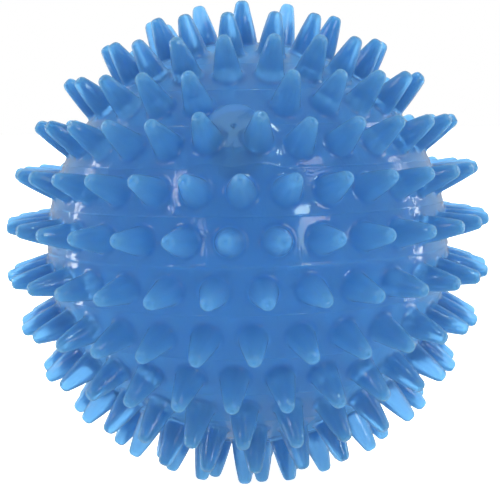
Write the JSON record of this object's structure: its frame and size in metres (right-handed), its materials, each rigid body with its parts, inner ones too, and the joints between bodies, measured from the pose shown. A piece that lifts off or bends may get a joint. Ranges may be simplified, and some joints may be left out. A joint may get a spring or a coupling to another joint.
{
  "type": "spiky massage ball",
  "caption": "Hollow inflatable PVC massage ball with rows of blunt cone spikes all round and a self-sealing needle valve between two of them.",
  "frame": {"origin": "the ball's centre", "axes": "+Z along the polar axis of the spike rows, up; the needle valve is on the front, near -Y, above the equator; +X to the right seen from the front"},
  "size_m": [0.0995, 0.0994, 0.0984],
  "materials": {
    "skin_pvc": "glossy, soft translucent PVC",
    "spike_pvc": "glossy, soft translucent PVC, paler towards the tips",
    "valve_pvc": "satin moulded PVC",
    "valve_rubber": "soft matte rubber"
  },
  "bodies": {
    "root": {"skin": "skin_pvc", "valve_housing": "valve_pvc", "valve_core": "valve_rubber", "spike_row_north_1": "spike_pvc", "spike_row_north_2": "spike_pvc", "spike_row_north_3": "spike_pvc", "spike_row_north_4": "spike_pvc", "spike_row_north_5": "spike_pvc", "spike_row_north_6": "spike_pvc", "spike_row_north_7": "spike_pvc", "spike_row_south_1": "spike_pvc", "spike_row_south_2": "spike_pvc", "spike_row_south_3": "spike_pvc", "spike_row_south_4": "spike_pvc", "spike_row_south_5": "spike_pvc", "spike_row_south_6": "spike_pvc", "spike_row_south_7": "spike_pvc"}
  },
  "joints": []
}
